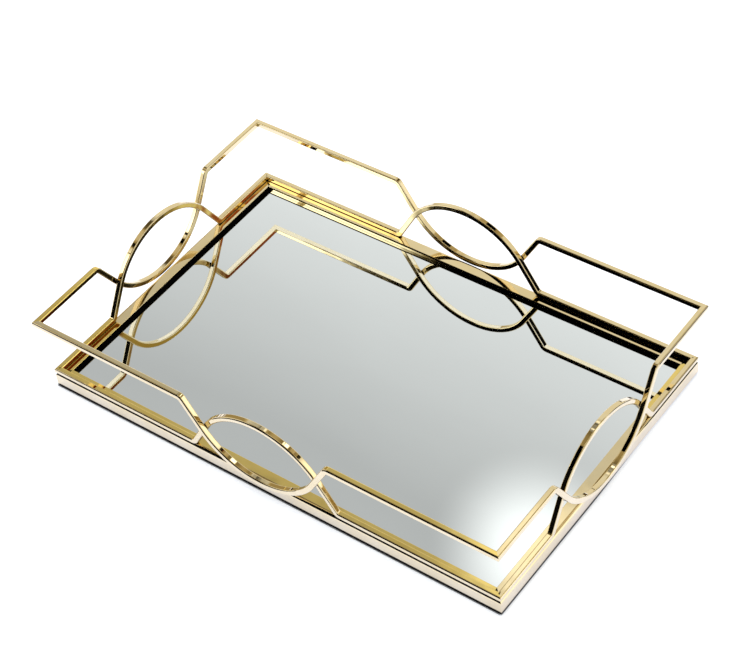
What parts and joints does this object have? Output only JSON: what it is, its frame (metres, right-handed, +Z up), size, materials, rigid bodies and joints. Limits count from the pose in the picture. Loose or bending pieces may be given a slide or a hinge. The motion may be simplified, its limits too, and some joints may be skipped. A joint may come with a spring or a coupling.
{
  "type": "vanity tray",
  "caption": "Rectangular mirror tray with a mitred gold metal frame and a bent square-wire gallery that forms lens-shaped loops, for standing perfume and cosmetics on a dresser.",
  "frame": {"origin": "centre of the tray on the surface that it stands on, at the underside of the felt", "axes": "+X along the long sides, +Y along the short sides, +Z up"},
  "size_m": [0.409, 0.265, 0.0695],
  "materials": {
    "frame_metal": "polished pale gold",
    "wire_metal": "polished pale gold",
    "mirror_glass": "clear silvered glass",
    "board": "raw fibreboard",
    "felt": "matt felt"
  },
  "bodies": {
    "root": {"frame_front": "frame_metal", "frame_right": "frame_metal", "frame_back": "frame_metal", "frame_left": "frame_metal", "lower_wire_front": "wire_metal", "lower_wire_right": "wire_metal", "lower_wire_back": "wire_metal", "lower_wire_left": "wire_metal", "upper_wire_front": "wire_metal", "upper_wire_right": "wire_metal", "upper_wire_back": "wire_metal", "upper_wire_left": "wire_metal", "mirror_plate": "mirror_glass", "base_board": "board", "felt_sheet": "felt"}
  },
  "joints": []
}
